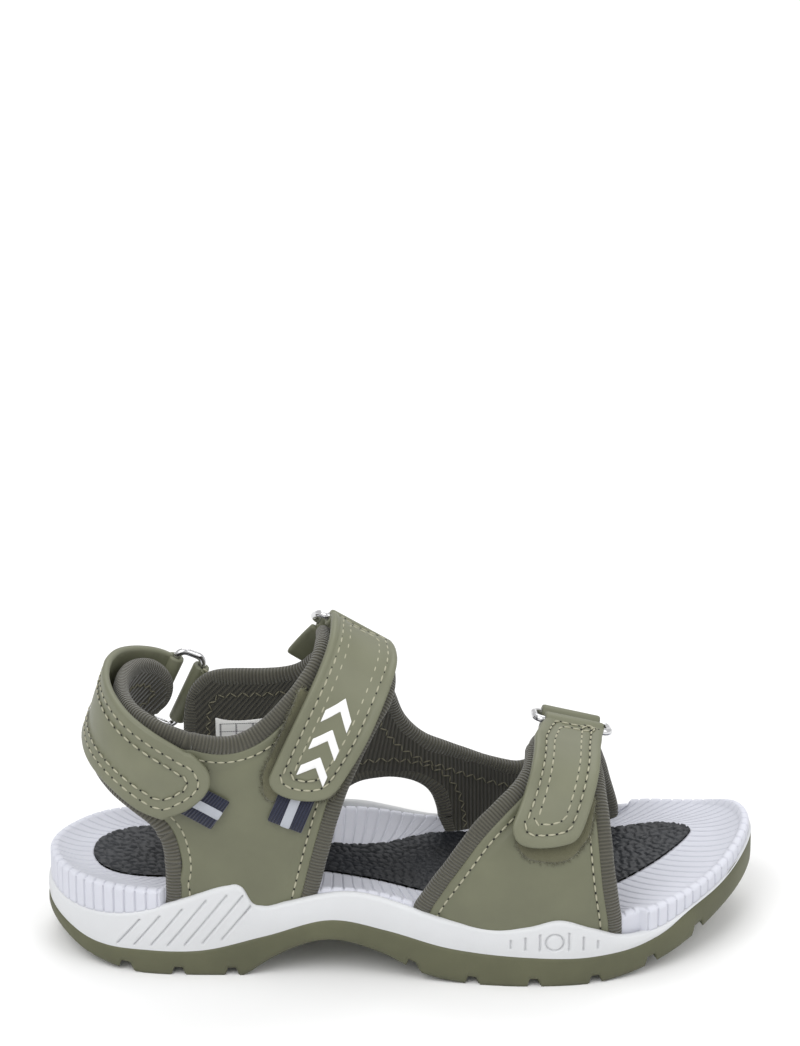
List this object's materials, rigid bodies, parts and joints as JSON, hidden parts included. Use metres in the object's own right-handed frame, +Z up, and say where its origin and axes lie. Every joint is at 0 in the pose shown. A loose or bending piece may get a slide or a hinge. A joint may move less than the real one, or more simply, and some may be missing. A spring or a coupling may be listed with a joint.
{
  "type": "strappy sport sandal",
  "caption": "Child's open sport sandal with padded uppers, contoured footbed, lugged sole and hinged hook-and-loop straps on wire rings.",
  "frame": {"origin": "on the ground, under the middle of the sole's length and width", "axes": "+X from heel to toe, +Y towards the inner (medial) side of this right sandal, +Z up"},
  "size_m": [0.216, 0.0802, 0.1059],
  "materials": {
    "midsole_foam": "satin white moulded EVA foam with fine grain",
    "footbed_foam": "matt pale lilac-white EVA foam, ribbed towards the rim",
    "inset_pad": "charcoal textured foam with raised pebbles",
    "outsole_rubber": "matt olive rubber with moulded lugs",
    "board": "fibre lasting board",
    "leather": "olive smooth synthetic leather with fine grain",
    "foam": "soft open-cell padding foam",
    "lining": "taupe ribbed knit lining with zig-zag stitching",
    "label": "white printed label",
    "loop_pile": "olive woven loop pile",
    "hook_pile": "olive hook pile",
    "wire": "bright plated steel wire",
    "webbing": "dark olive webbing",
    "grosgrain": "navy ribbed grosgrain ribbon",
    "reflective": "light grey reflective stripe",
    "print": "white raised print"
  },
  "bodies": {
    "root": {"outsole": "outsole_rubber", "midsole": "midsole_foam", "lasting_board": "board", "footbed": "footbed_foam", "footbed_inset": "inset_pad", "size_label": "label", "lateral_quarter_leather": "leather", "lateral_quarter_foam": "foam", "lateral_quarter_lining": "lining", "lateral_vamp_leather": "leather", "lateral_vamp_foam": "foam", "lateral_vamp_lining": "lining", "medial_upper_leather": "leather", "medial_upper_foam": "foam", "medial_upper_lining": "lining", "heel_loop_patch": "loop_pile", "heel_ring_tab": "webbing", "instep_loop_patch": "loop_pile", "instep_ring_tab": "webbing", "toe_loop_patch": "loop_pile", "toe_ring_tab": "webbing"},
    "heel_ring": {"heel_ring": "wire"},
    "heel_strap": {"heel_hook_patch": "hook_pile", "heel_strap": "leather", "heel_pull_tab": "grosgrain", "heel_pull_tab_stripe": "reflective"},
    "instep_ring": {"instep_ring": "wire"},
    "instep_strap": {"instep_hook_patch": "hook_pile", "instep_strap": "leather", "instep_pull_tab": "grosgrain", "instep_pull_tab_stripe": "reflective", "instep_emblem": "print"},
    "toe_ring": {"toe_ring": "wire"},
    "toe_strap": {"toe_hook_patch": "hook_pile", "toe_strap": "leather"}
  },
  "joints": [
    {"name": "heel_ring_hinge", "type": "hinge", "parent": "root", "child": "heel_ring", "pos_m": [-0.0643, 0.0294, 0.0658], "axis": [-0.4043, 0, -0.9146], "range_deg": [0, 45]},
    {"name": "heel_strap_hinge", "type": "hinge", "parent": "heel_ring", "child": "heel_strap", "pos_m": [-0.072, 0.0292, 0.0692], "axis": [-0.4043, 0, -0.9146], "range_deg": [0, 100]},
    {"name": "instep_ring_hinge", "type": "hinge", "parent": "root", "child": "instep_ring", "pos_m": [-0.0159, 0.015, 0.09185], "axis": [-0.8468, 0, 0.5319], "range_deg": [0, 45]},
    {"name": "instep_strap_hinge", "type": "hinge", "parent": "instep_ring", "child": "instep_strap", "pos_m": [-0.0132, 0.0088, 0.0962], "axis": [-0.8468, 0, 0.5319], "range_deg": [0, 105]},
    {"name": "toe_ring_hinge", "type": "hinge", "parent": "root", "child": "toe_ring", "pos_m": [0.052, 0.0174, 0.061], "axis": [-0.9688, 0, 0.2479], "range_deg": [0, 45]},
    {"name": "toe_strap_hinge", "type": "hinge", "parent": "toe_ring", "child": "toe_strap", "pos_m": [0.0525, 0.0094, 0.0628], "axis": [-0.9688, 0, 0.2479], "range_deg": [0, 105]}
  ]
}
